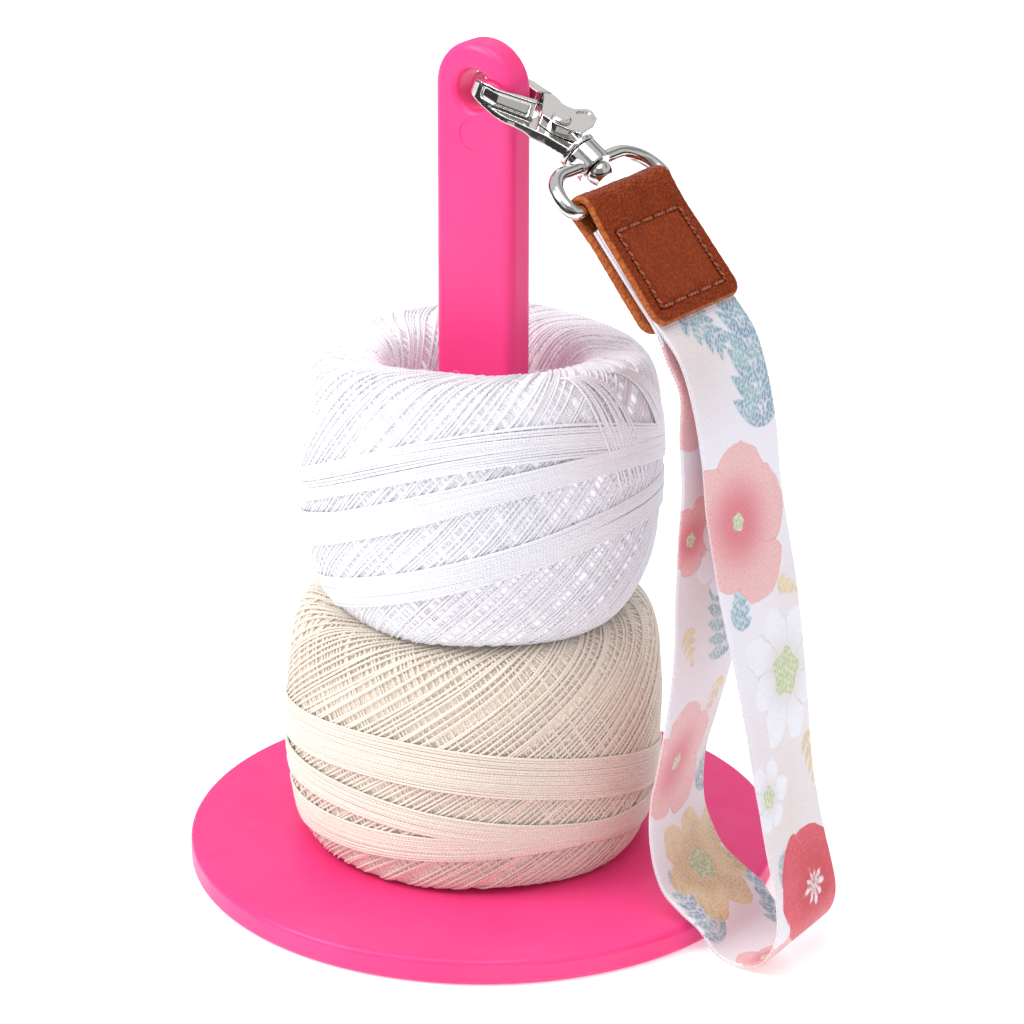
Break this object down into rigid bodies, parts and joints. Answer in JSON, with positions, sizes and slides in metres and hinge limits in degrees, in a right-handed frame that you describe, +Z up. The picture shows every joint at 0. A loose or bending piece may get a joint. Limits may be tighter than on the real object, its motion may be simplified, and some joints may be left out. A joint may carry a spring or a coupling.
{
  "type": "wrist yarn holder",
  "caption": "Portable yarn holder: a pink disc base with a flat eyed post carries balls of crochet thread, and a swivel trigger clip in the eye holds a wrist loop of printed webbing.",
  "frame": {"origin": "centre of the base's flat underside", "axes": "+Z up along the post, -Y out of the post's front wide face, +X towards the side where the clip and the wrist loop hang"},
  "size_m": [0.1417, 0.122, 0.174],
  "materials": {
    "pink_plastic": "satin moulding",
    "clip_chrome": "bright nickel plating with soft cast edges",
    "spring_steel": "plain wire and screw steel",
    "brown_leather": "pebbled grain, lighter raw edges",
    "brown_thread": "waxed sewing thread",
    "printed_webbing": "satin webbing with a small floral print",
    "white_thread": "mercerised cotton thread",
    "cream_thread": "mercerised cotton thread"
  },
  "bodies": {
    "stand": {"base_disc": "pink_plastic", "post": "pink_plastic", "base_screw": "spring_steel"},
    "hook": {"hook_body": "clip_chrome", "gate_rivet": "clip_chrome", "gate_spring": "spring_steel"},
    "gate": {"gate_lever": "clip_chrome"},
    "swivel": {"swivel_ring": "clip_chrome"},
    "strap": {"leather_tab": "brown_leather", "stitching_front": "brown_thread", "stitching_rear": "brown_thread", "webbing_loop": "printed_webbing"},
    "ball_white": {"yarn_ball_white": "white_thread"},
    "ball_cream": {"yarn_ball_cream": "cream_thread"}
  },
  "joints": [
    {"name": "clip_swing", "type": "hinge", "parent": "stand", "child": "hook", "pos_m": [0, 0, 0.1645], "axis": [0, 1, 0], "range_deg": [-205, 0]},
    {"name": "gate_press", "type": "hinge", "parent": "hook", "child": "gate", "pos_m": [0.0173, 0.0009, 0.15878], "axis": [0.3665, 0, 0.9304], "range_deg": [0, 13], "stiffness_Nm_per_rad": 0.004, "springref_deg": -22.92},
    {"name": "swivel_spin", "type": "hinge", "parent": "hook", "child": "swivel", "pos_m": [0.02522, 0, 0.15405], "axis": [0.829, 0, -0.5592], "continuous": true},
    {"name": "strap_fold", "type": "hinge", "parent": "swivel", "child": "strap", "pos_m": [0.03326, 0, 0.14863], "axis": [0, 1, 0], "range_deg": [-114, 0]},
    {"name": "ball_white_spin", "type": "hinge", "parent": "stand", "child": "ball_white", "pos_m": [0, 0, 0.0838], "axis": [0, 0, 1], "continuous": true},
    {"name": "ball_cream_spin", "type": "hinge", "parent": "stand", "child": "ball_cream", "pos_m": [-0.0015, 0, 0.03145], "axis": [0, 0, 1], "continuous": true}
  ]
}
